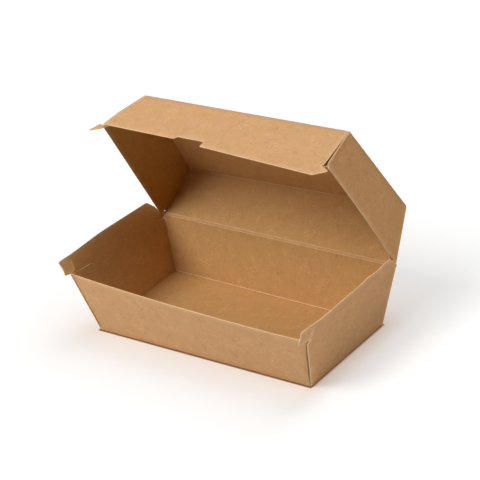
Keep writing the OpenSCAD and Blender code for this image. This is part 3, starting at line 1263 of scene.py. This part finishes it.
class Nodes:
    """Adds and links the nodes of one tree."""

    def __init__(self, tree):
        self.tree = tree

    def add(self, kind, inputs=None, **settings):
        """A new node. inputs holds a value or another node's socket for each of its inputs."""
        node = self.tree.nodes.new(kind)
        for name, value in settings.items():
            setattr(node, name, value)
        for name, value in (inputs or {}).items():
            if isinstance(value, bpy.types.NodeSocket):
                self.tree.links.new(value, node.inputs[name])
            else:
                node.inputs[name].default_value = value
        return node

    def maths(self, operation, first, second=0.0, clamped=False):
        node = self.add("ShaderNodeMath", {0: first, 1: second}, operation=operation,
                        use_clamp=clamped)
        return node.outputs[0]

    def times(self, first, second):
        return self.maths("MULTIPLY", first, second)

    def noise(self, vector, scale, detail, roughness=0.5, distortion=0.0):
        inputs = {"Vector": vector, "Scale": scale, "Detail": detail, "Roughness": roughness,
                  "Distortion": distortion}
        return self.add("ShaderNodeTexNoise", inputs).outputs["Fac"]

    def placed(self, vector, scale, turn=0.0, shift=(0.0, 0.0, 0.0)):
        inputs = {"Vector": vector, "Scale": scale, "Rotation": (0.0, 0.0, turn),
                  "Location": shift}
        return self.add("ShaderNodeMapping", inputs).outputs["Vector"]

    def ramp(self, value, low, high, to_low=0.0, to_high=1.0):
        inputs = {"Value": value, "From Min": low, "From Max": high, "To Min": to_low,
                  "To Max": to_high}
        return self.add("ShaderNodeMapRange", inputs,
                        interpolation_type="SMOOTHSTEP").outputs["Result"]

    def blend(self, share, first, second, how="MIX"):
        return self.add("ShaderNodeMix", {"Factor": share, "A": first, "B": second},
                        data_type="RGBA", blend_type=how).outputs["Result"]

    def attribute(self, name):
        return self.add("ShaderNodeAttribute", attribute_name=name).outputs["Fac"]

    def seen_rays(self):
        """1 for the rays of the camera and of mirror images, and 0 for those of light."""
        path = self.add("ShaderNodeLightPath").outputs
        return self.maths("MAXIMUM", path["Is Camera Ray"], path["Is Glossy Ray"])

    def surface(self, shader, output="ShaderNodeOutputMaterial"):
        self.add(output, {"Surface": shader.outputs[0]})

    def paper(self, tone, roughness, gloss, relief, bump, depth):
        """Shades the whole material as paper of that colour, with a relief so many metres deep."""
        bumps = self.add("ShaderNodeBump", {"Strength": bump, "Distance": depth,
                                            "Height": relief})
        self.surface(self.add("ShaderNodeBsdfPrincipled", {
            "Base Color": tone,
            "Roughness": roughness,
            "Specular IOR Level": gloss,
            "Normal": bumps.outputs["Normal"],
        }))


def grey(value):
    return (value, value, value, 1.0)


def empty_tree(owner):
    """The node tree of a material or a world, without its nodes."""
    owner.use_nodes = True
    owner.node_tree.nodes.clear()
    return Nodes(owner.node_tree)


def shade(tone, factor, warmer=1.0):
    """A colour made lighter or darker, with its blue share changed by warmer."""
    red, green, blue = tone
    return (min(red * factor, 1.0), min(green * factor, 1.0), min(blue * factor * warmer, 1.0), 1.0)


def veins(nodes, sheet, scale, turn, level, width, mask):
    """Thin winding lines, such as the long fibres that lie in the paper's surface."""
    field = nodes.noise(nodes.placed(sheet, scale, turn), 1.0, 1.5, 0.5, 0.9)
    away = nodes.maths("ABSOLUTE", nodes.maths("SUBTRACT", field, level))
    return nodes.times(nodes.ramp(away, width, 0.0), mask)


def kraft_material(name, tone, shade_paint_tone, pale, bump, shift, inner):
    """Uncoated kraft paper: clouds, blotches, long and short fibres, specks, painted shade on the
    parts that lie in shade, and its folds, with painted shade along them and, on a flap's fold, a
    paler mark that is partly wear and partly a painted highlight.
    """
    material = bpy.data.materials.new(name)
    nodes = empty_tree(material)
    sheet = nodes.add("ShaderNodeUVMap", uv_map="sheet").outputs["UV"]
    sheet = nodes.placed(sheet, (1, 1, 1), 0.0, shift)
    colour_now = nodes.add("ShaderNodeRGB").outputs[0]
    colour_now.default_value = shade(tone, 1.0)

    def tint(share, tone, strength=1.0):
        """Multiplies the colour so far by a tint, as far as share says."""
        return nodes.blend(nodes.times(share, strength), colour_now, (*tone, 1.0), "MULTIPLY")

    clouds = nodes.noise(sheet, 2.6, 3.0, 0.5)
    blotches = nodes.noise(sheet, 14.0, 5.0, 0.65, 0.5)
    grain = nodes.noise(sheet, 120.0, 2.0, 0.6)
    streaks = nodes.noise(nodes.placed(sheet, (46, 9, 1)), 1.6, 3.0, 0.6, 0.3)
    # A pattern, the value at which its tint begins and the one at which it is full, and the tint
    for pattern, begins, full, tone_there in (
        (clouds, 0.56, 0.7, (0.97, 1.0, 0.96)),
        (clouds, 0.44, 0.3, (1.0, 0.98, 0.98)),
        (blotches, 0.5, 0.72, (1.05, 1.055, 1.06)),
        (blotches, 0.48, 0.3, (0.95, 0.94, 0.92)),
        (grain, 0.42, 0.66, (1.05, 1.06, 1.06)),
        (grain, 0.50, 0.28, (0.93, 0.925, 0.92)),
        (streaks, 0.5, 0.3, (0.94, 0.93, 0.92)),
    ):
        colour_now = tint(nodes.ramp(pattern, begins, full), tone_there)
    here = nodes.ramp(nodes.noise(sheet, 7.0, 2.0), 0.45, 0.6)
    there = nodes.ramp(nodes.noise(sheet, 9.0, 2.0), 0.56, 0.42)
    long_fibres = veins(nodes, sheet, (24, 38, 1), 0.5, 0.5, 0.05, here)
    short_fibres = veins(nodes, sheet, (52, 30, 1), -0.6, 0.47, 0.055, there)
    dark_fibres = veins(nodes, sheet, (30, 44, 1), 1.2, 0.53, 0.05, there)
    colour_now = tint(long_fibres, (1.14, 1.16, 1.2))
    colour_now = tint(short_fibres, (1.09, 1.1, 1.12))
    colour_now = tint(dark_fibres, (0.9, 0.88, 0.86))
    specks = nodes.add("ShaderNodeTexVoronoi", {"Vector": sheet, "Scale": 38.0}, feature="F1")
    spot = nodes.ramp(specks.outputs["Distance"], 0.2, 0.1)
    kind = nodes.add("ShaderNodeSeparateColor", {"Color": specks.outputs["Color"]}).outputs
    dark_spots = nodes.times(spot, nodes.ramp(kind[0], 0.75, 0.9))
    pale_spots = nodes.times(spot, nodes.ramp(kind[1], 0.8, 0.95))
    colour_now = tint(dark_spots, (0.86, 0.8, 0.74))
    colour_now = tint(pale_spots, (1.1, 1.12, 1.14))
    # Painted shade: a part that lies in shade is painted darker by its tint, and on the outside a
    # painted shade above 1 paints the dark shadow in the lid's seam
    shade_paint = nodes.attribute("shade_paint")
    colour_now = tint(nodes.maths("MINIMUM", shade_paint, 1.0), shade_paint_tone)
    if not inner:
        deep = nodes.maths("MAXIMUM", nodes.maths("SUBTRACT", shade_paint, 1.0), 0.0)
        colour_now = tint(deep, DEEP_SHADE)
    rubbed = nodes.ramp(nodes.noise(sheet, 26.0, 4.0, 0.7), 0.3, 0.6, 0.45, 1.0)
    # Painted shade along the folds, strong on the outside and weak on the inside; then paler wear
    # at cut edges and on a flap's fold, where the paleness is partly a painted highlight
    fold = nodes.attribute("fold")
    fold_shade = nodes.maths("MAXIMUM", fold, 0.0)
    fold_wear_and_highlight = nodes.maths("MAXIMUM", nodes.times(fold, -1.0), 0.0)
    colour_now = tint(fold_shade, FOLD_SHADE_PAINT, 0.2 if inner else 0.8)
    wear_and_painted_light = nodes.maths("MAXIMUM", nodes.times(fold_wear_and_highlight, 0.6),
                       nodes.times(nodes.attribute("cut"), 0.75))
    colour_now = nodes.blend(nodes.maths("MULTIPLY", wear_and_painted_light, rubbed, True), colour_now,
                             shade(pale, 1.0))
    relief = nodes.maths("ADD", nodes.times(grain, 0.8), nodes.times(blotches, 1.2))
    relief = nodes.maths("ADD", relief, nodes.maths("ADD", long_fibres, short_fibres))
    relief = nodes.maths("SUBTRACT", relief, nodes.times(dark_fibres, 0.7))
    nodes.paper(colour_now, nodes.ramp(grain, 0.3, 0.7, 0.72, 0.88), 0.3, relief, bump, 0.0002)
    return material


def cut_material(name, pale, bump):
    """Raw board: the pale, ragged fibres of a cut edge or of a scored ridge."""
    material = bpy.data.materials.new(name)
    nodes = empty_tree(material)
    place = nodes.add("ShaderNodeTexCoord").outputs["Object"]
    ragged = nodes.noise(place, 900.0, 4.0, 0.7)
    patches = nodes.noise(place, 120.0, 3.0, 0.6)
    tone = nodes.blend(nodes.ramp(ragged, 0.35, 0.65), shade(pale, 0.86, 0.9), shade(pale, 1.08))
    tone = nodes.blend(nodes.times(nodes.ramp(patches, 0.4, 0.62), 0.45), tone,
                       shade(pale, 0.8, 0.8))
    nodes.paper(tone, nodes.ramp(ragged, 0.3, 0.7, 0.8, 0.95), 0.2, ragged, bump, 0.0001)
    return material


def board_materials(scene):
    """The three finishes of the board, made once and shared by its pieces."""
    kraft = scene.box_kraft
    pale = tuple(kraft.cut_edge)
    makers = {
        "kraft_outside": lambda name: kraft_material(
            name, kraft.outside, OUTSIDE_SHADE_PAINT, pale, kraft.bump, (0.0, 0.0, 0.0), False),
        "kraft_inside": lambda name: kraft_material(
            name, kraft.inside, INSIDE_SHADE_PAINT, pale, kraft.bump, (3.7, 5.1, 0.0), True),
        "kraft_cut_edge": lambda name: cut_material(name, pale, kraft.bump),
    }
    return [bpy.data.materials.get(name) or make(name) for name, make in makers.items()]


def paint(board, scene):
    """Gives a piece of board its outside, inside and cut edge."""
    for material in board_materials(scene):
        board.data.materials.append(material)


# Beads inside the folds, made with Geometry Nodes

def bead_tree():
    """Sweeps a ragged round bead along each curve, and sets its material."""
    name = "score_bead"
    tree = bpy.data.node_groups.get(name)
    if tree is not None:
        return tree
    tree = bpy.data.node_groups.new(name, "GeometryNodeTree")
    for title, kind, default in (
        ("Geometry", "Geometry", None),
        ("Radius", "Float", 0.0005),
        ("Step", "Float", 0.0015),
        ("Raggedness", "Float", 0.3),
        ("Seed", "Int", 7),
        ("Material", "Material", None),
    ):
        socket = tree.interface.new_socket(title, in_out="INPUT", socket_type="NodeSocket" + kind)
        if default is not None:
            socket.default_value = default
    tree.interface.new_socket("Geometry", in_out="OUTPUT", socket_type="NodeSocketGeometry")
    nodes = Nodes(tree)
    given = nodes.add("NodeGroupInput").outputs
    points = nodes.add("GeometryNodeResampleCurve", {
        "Curve": given["Geometry"],
        "Length": given["Step"],
    }, mode="LENGTH")
    ragged = nodes.add("FunctionNodeRandomValue", {
        "Seed": given["Seed"],
        2: nodes.maths("SUBTRACT", 1.0, given["Raggedness"]),
        3: 1.0,
    }, data_type="FLOAT")
    ring = nodes.add("GeometryNodeCurvePrimitiveCircle", {"Resolution": 8, "Radius": 1.0})
    sweep = nodes.add("GeometryNodeCurveToMesh", {
        "Curve": points.outputs["Curve"],
        "Profile Curve": ring.outputs["Curve"],
        "Scale": nodes.times(ragged.outputs[1], given["Radius"]),
        "Fill Caps": True,
    })
    made = sweep.outputs["Mesh"]
    for kind in ("GeometryNodeSetShadeSmooth", "GeometryNodeRealizeInstances"):
        made = nodes.add(kind, {"Geometry": made}).outputs["Geometry"]
    finish = {"Geometry": made, "Material": given["Material"]}
    made = nodes.add("GeometryNodeSetMaterial", finish).outputs["Geometry"]
    nodes.add("NodeGroupOutput", {"Geometry": made})
    return tree


def beads(name, lines, radius, seed, material):
    """A plain mesh of the beads along lines, each a list of points in mm."""
    curve = bpy.data.curves.new(name, "CURVE")
    curve.dimensions = "3D"
    for line in lines:
        spline = curve.splines.new("POLY")
        spline.points.add(len(line) - 1)
        for point, place in zip(spline.points, line):
            point.co = (*(place / MM), 1.0)
    source = bpy.data.objects.new(name + "_lines", curve)
    bpy.context.scene.collection.objects.link(source)
    modifier = source.modifiers.new("beads", "NODES")
    modifier.node_group = bead_tree()
    values = {"Radius": radius, "Seed": seed, "Material": material}
    for item in modifier.node_group.interface.items_tree:
        if item.item_type == "SOCKET" and item.in_out == "INPUT" and item.name in values:
            modifier[item.identifier] = values[item.name]
    graph = bpy.context.evaluated_depsgraph_get()
    graph.update()
    mesh = bpy.data.meshes.new_from_object(source.evaluated_get(graph))
    mesh.name = name
    bpy.data.objects.remove(source)
    made = bpy.data.objects.new(name, mesh)
    bpy.context.scene.collection.objects.link(made)
    return made


def line_points(a, b, warp, part, step=6.0):
    count = max(2, round((b - a).length / step))
    return [warp(a.lerp(b, i / count), part) for i in range(count + 1)]


# Operators

class BOX_OT_tray(bpy.types.Operator):
    """Make the tray's board: base, walls, wings with their ears, and glued flaps"""

    bl_idname = "box.tray"
    bl_label = "Tray board"

    def execute(self, context):
        scene = context.scene
        shape = TrayShape(scene.box_board, scene.box_tray)
        sheet = FoldedSheet(shape.grid)
        tray_strip(sheet, shape)
        # Painted shade: the end walls are painted a little darker where they lie in shade, and the
        # back flaps on them a little more
        shade_paint_by_part = {"wing": 0.15, "back_flap": 0.25}
        board = sheet.thicken("tray_board", shape.warp, shape.thick, shade_paint_by_part)
        paint(board, scene)
        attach(board, "tray")
        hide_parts("tray")
        return {"FINISHED"}


class BOX_OT_lid(bpy.types.Operator):
    """Make the lid's board: top, walls, thumb notch, hooked ears and glued flaps"""

    bl_idname = "box.lid"
    bl_label = "Lid board"

    def execute(self, context):
        scene = context.scene
        shape = LidShape(scene.box_board, scene.box_lid, scene.box_tray)
        sheet = FoldedSheet(shape.grid)
        lid_panels(sheet, shape)
        # Painted shade: the end walls and back flaps are painted dark as shade, the seam beside the
        # front wall darker still as its shadow, and the front flap where the front wall shades it
        shade_paint_by_part = {"end": 1.0, "back_flap": 1.0, "front_seam": 2.0, "front_flap": shape.behind_front}
        board = sheet.thicken("lid_board", shape.warp, shape.thick, shade_paint_by_part)
        paint(board, scene)
        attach(board, "lid")
        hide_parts("lid")
        return {"FINISHED"}


class BOX_OT_crease(bpy.types.Operator):
    """Make the crease that joins the lid to the tray, with its two scored ridges"""

    bl_idname = "box.crease"
    bl_label = "Crease"

    def execute(self, context):
        scene = context.scene
        tray = TrayShape(scene.box_board, scene.box_tray)
        lid = LidShape(scene.box_board, scene.box_lid, scene.box_tray)
        outer, inner, start, end = crease_section(tray, lid, scene.box_crease)
        half = tray.half - 0.8
        nib = 2.0
        count = 60
        ring = outer + inner[::-1]
        size = len(ring)
        points = []
        facts = []
        for i in range(count + 1):
            x = -half + (2 * half + nib) * i / count
            shift = tray.warp(Vector((x, 0, 0)), "back") - to_box(Vector((x, 0, 0)))
            for k, place in enumerate(ring):
                points.append(to_box(Vector((x, place.y, place.z))) + shift)
                facts.append((x, 40 + place.z, 0.0, 0.0, 0.0))
        faces = []
        kinds = []
        for i in range(count):
            for k in range(size):
                after = (k + 1) % size
                faces.append([i * size + k, i * size + after,
                              (i + 1) * size + after, (i + 1) * size + k])
                kinds.append(0 if k < len(outer) - 1 else 1)
        last = count * size
        half_ring = len(outer)
        for k in range(half_ring - 1):
            a, b = k, k + 1
            c, d = size - 2 - k, size - 1 - k
            faces.append([d, c, b, a])
            faces.append([last + a, last + b, last + c, last + d])
            kinds.extend((2, 2))
        strip = board_object("crease_strip", points, faces, kinds, facts)
        paint(strip, scene)
        fold = strip.data.attributes["fold"]
        wear_and_painted_light = []
        for i in range(count + 1):
            for k in range(size):
                t = k / (half_ring - 1) if k < half_ring else (size - 1 - k) / (half_ring - 1)
                inside = k >= half_ring
                wear_and_painted_light.append(-near_ridge(t, 0.16) * (1.3 if inside else 0.2))
        fold.data.foreach_set("value", wear_and_painted_light)
        to_box(start) / MM
        to_box(end) / MM
        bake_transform(strip)
        return {"FINISHED"}


class BOX_OT_beads(bpy.types.Operator):
    """Make the beads that the scoring raises along the inside of the folds"""

    bl_idname = "box.beads"
    bl_label = "Score beads"

    def execute(self, context):
        scene = context.scene
        radius = scene.box_crease.bead_radius
        material = board_materials(scene)[2]
        tray = TrayShape(scene.box_board, scene.box_tray)
        h = tray.height
        tip = 2.4
        lines = []
        for y in (tray.front(-h) + 0.6, tray.back(-h) - 0.6):
            a = Vector((-tray.base_half + tip, y, -h + 1.3))
            b = Vector((tray.base_half - tip, y, -h + 1.3))
            lines.append(line_points(a, b, tray.warp, "base"))
        made = beads("tray_beads", lines, radius, 7, material)
        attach(made, "tray")
        lid = LidShape(scene.box_board, scene.box_lid, scene.box_tray)
        h = lid.height
        lines = []
        for y in (lid.front(h) + 0.75, lid.back(h) - 0.5):
            half = lid.end(y, h) - tip
            lines.append(line_points(Vector((-half, y, h - 1.2)), Vector((half, y, h - 1.2)),
                                     lid.warp, "top"))
        made = beads("lid_beads", lines, radius * 0.5, 11, material)
        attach(made, "lid")
        return {"FINISHED"}


class BOX_OT_stage(bpy.types.Operator):
    """Set up the floor, the lights, the world and the camera"""

    bl_idname = "box.stage"
    bl_label = "Stage"

    def execute(self, context):
        scene = context.scene
        stage = scene.box_stage
        self.make_floor(scene, stage)
        self.make_world(scene)
        self.make_lights(scene, stage)
        self.make_camera(scene, stage)
        scene.view_settings.view_transform = "Standard"
        return {"FINISHED"}

    def make_floor(self, scene, stage):
        """A white floor. For light it is plain white board, and for the camera it also glows, with
        the painted shadow and painted light of foot_shadow.
        """
        mesh = bpy.data.meshes.new("floor")
        reach = 6.0
        below = 0.0001
        corners = [(x * reach, y * reach, 0) for x, y in ((-1, -1), (1, -1), (1, 1), (-1, 1))]
        mesh.from_pydata(corners, [], [(0, 1, 2, 3)])
        floor = bpy.data.objects.new("floor", mesh)
        scene.collection.objects.link(floor)
        floor.location.z = -below
        material = bpy.data.materials.new("floor_white")
        nodes = empty_tree(material)
        seen = nodes.seen_rays()
        warm, line = self.foot_shadow(nodes, TrayShape(scene.box_board, scene.box_tray))
        # For the camera the floor's board is darker along the painted contact shadow, and its glow
        # takes the painted shadow and light
        plain = nodes.blend(line, grey(0.43), (0.2, 0.12, 0.07, 1.0))
        tone = nodes.blend(seen, grey(0.85), plain)
        diffuse = nodes.add("ShaderNodeBsdfDiffuse", {"Color": tone})
        glow = nodes.add("ShaderNodeEmission", {
            "Color": nodes.blend(line, warm, (0.1, 0.045, 0.02, 1.0)),
            "Strength": nodes.times(seen, stage.floor_glow),
        })
        nodes.surface(nodes.add("ShaderNodeAddShader", {0: diffuse.outputs[0], 1: glow.outputs[0]}))
        mesh.materials.append(material)

    def foot_shadow(self, nodes, shape):
        """White that turns into a painted warm shadow next to the foot of the box, with a painted
        dark contact shadow where the line lies under its rounded folds, and painted extra light
        further away and at its right."""
        h = shape.height
        front, back = shape.front(-h), shape.back(-h)
        corners = [shape.warp(Vector((s * shape.base_half, y, -h)), "base") / MM
                   for s, y in ((LEFT, front), (RIGHT, front), (RIGHT, back), (LEFT, back))]
        place = nodes.add("ShaderNodeTexCoord").outputs["Object"]
        away = []
        for here, there in zip(corners, corners[1:] + corners[:1]):
            along = (there - here).normalized()
            outward = Vector((along.y, -along.x, 0))
            dot = nodes.add("ShaderNodeVectorMath", {0: place, 1: outward},
                            operation="DOT_PRODUCT").outputs["Value"]
            away.append(nodes.maths("MAXIMUM", 0.0,
                                    nodes.maths("SUBTRACT", dot, outward.dot(here))))
        squares = [nodes.times(side, side) for side in away]
        total = squares[0]
        for square in squares[1:]:
            total = nodes.maths("ADD", total, square)
        distance = nodes.maths("SQRT", total)
        at_right = away[1]
        # Painted shadow: a warm shade of the board near the foot, weaker at the right
        warm_reach = 0.028
        near = nodes.maths("EXPONENT", nodes.times(distance, -1 / warm_reach))
        near = nodes.times(near, nodes.ramp(at_right, 0.0, 0.02, 1.0, 0.45))
        # Painted light: the white is brighter further from the box and at its right, where it
        # lightens the shadow
        white = nodes.blend(nodes.ramp(distance, 0.03, 0.15), grey(1.0), grey(1.13))
        white = nodes.blend(nodes.ramp(at_right, 0.0, 0.06), white, grey(1.22))
        white = nodes.blend(nodes.ramp(distance, 0.4, 1.6), white, grey(1.7))
        warm = nodes.blend(near, white, (0.78, 0.64, 0.54, 1.0))
        # Painted contact shadow: a thin dark line under the rounded folds at the foot, weaker at
        # the right
        line = nodes.ramp(distance, 0.0018, 0.0010)
        return warm, nodes.times(line, nodes.ramp(at_right, 0.0, 0.0005, 1.0, 0.4))

    def make_world(self, scene):
        """A pale grey behind the floor. It is only seen, and lights nothing."""
        scene.world = bpy.data.worlds.new("studio")
        nodes = empty_tree(scene.world)
        light = {"Color": grey(0.8), "Strength": nodes.seen_rays()}
        nodes.surface(nodes.add("ShaderNodeBackground", light), "ShaderNodeOutputWorld")

    def make_lights(self, scene, stage):
        """A key light from the front left and weaker ones above and at the right. Each is given
        by its direction, its diameter in metres and its share of the key light."""
        lamps = (
            ("key_light", (-0.37, -0.56, 0.74), 1.0, 1.0),
            ("low_light", (-0.45, -0.8, 0.4), 0.9, 0.13),
            ("top_light", (0.0, 0.45, 0.89), 1.0, 0.39),
            ("right_light", (0.9, 0.1, 0.42), 0.9, 0.23),
            ("floor_light", (0.85, 0.5, 0.16), 0.9, 0.11),
        )
        for name, way, size, share in lamps:
            light = bpy.data.lights.new(name, "AREA")
            light.shape = "DISK"
            light.size = size
            light.energy = stage.key * share
            lamp = bpy.data.objects.new(name, light)
            direction = Vector(way).normalized()
            lamp.location = direction * LIGHT_DISTANCE + Vector((0, 0, 0.05))
            lamp.rotation_euler = (-direction).to_track_quat("-Z", "Y").to_euler()
            scene.collection.objects.link(lamp)

    def make_camera(self, scene, stage):
        a, e = stage.azimuth, stage.elevation
        back = Vector((math.sin(a) * math.cos(e), -math.cos(a) * math.cos(e), math.sin(e)))
        right = back.cross(Vector((0, 0, -1))).normalized()
        above = back.cross(right)
        middle = Vector((0, HINGE[1] - MIDDLE_BEFORE_HINGE, MIDDLE_HEIGHT))
        target = middle + right * VIEW_SHIFT[0] + above * VIEW_SHIFT[1]
        c, s = math.cos(stage.roll), math.sin(stage.roll)
        turned_right = right * c + above * s
        turned_up = above * c - right * s
        data = bpy.data.cameras.new("camera")
        data.lens = stage.lens
        data.sensor_width = 36.0
        camera = bpy.data.objects.new("camera", data)
        matrix = Matrix((turned_right, turned_up, back)).transposed().to_4x4()
        matrix.translation = target + back * stage.distance
        camera.matrix_world = matrix
        scene.collection.objects.link(camera)
        scene.camera = camera


class BOX_PT_panel(bpy.types.Panel):
    bl_label = "Takeaway box"
    bl_idname = "BOX_PT_panel"
    bl_space_type = "VIEW_3D"
    bl_region_type = "UI"
    bl_category = "Takeaway box"

    def draw(self, context):
        for settings, title, _ in SETTINGS:
            box = self.layout.box()
            box.label(text=title)
            group = getattr(context.scene, settings)
            for name in group.bl_rna.properties.keys():
                if name not in ("rna_type", "name"):
                    box.prop(group, name)
        for operator in STEPS:
            self.layout.operator(operator.bl_idname)


SETTINGS = (
    ("box_board", "Board", BoardSettings),
    ("box_tray", "Tray", TraySettings),
    ("box_lid", "Lid", LidSettings),
    ("box_crease", "Crease", CreaseSettings),
    ("box_kraft", "Kraft paper", KraftSettings),
    ("box_stage", "Stage", StageSettings),
)
STEPS = (BOX_OT_tray, BOX_OT_lid, BOX_OT_crease, BOX_OT_beads, BOX_OT_stage)
CLASSES = (*[group for _, _, group in SETTINGS], *STEPS, BOX_PT_panel)


def register():
    for item in CLASSES:
        bpy.utils.register_class(item)
    for name, _, group in SETTINGS:
        setattr(bpy.types.Scene, name, PointerProperty(type=group))


def unregister():
    for name, _, _ in SETTINGS:
        delattr(bpy.types.Scene, name)
    for item in reversed(CLASSES):
        bpy.utils.unregister_class(item)


def main():
    register()
    bpy.ops.box.tray()
    bpy.ops.box.lid()
    bpy.ops.box.crease()
    bpy.ops.box.beads()
    bpy.ops.box.stage()


if __name__ == "__main__":
    main()
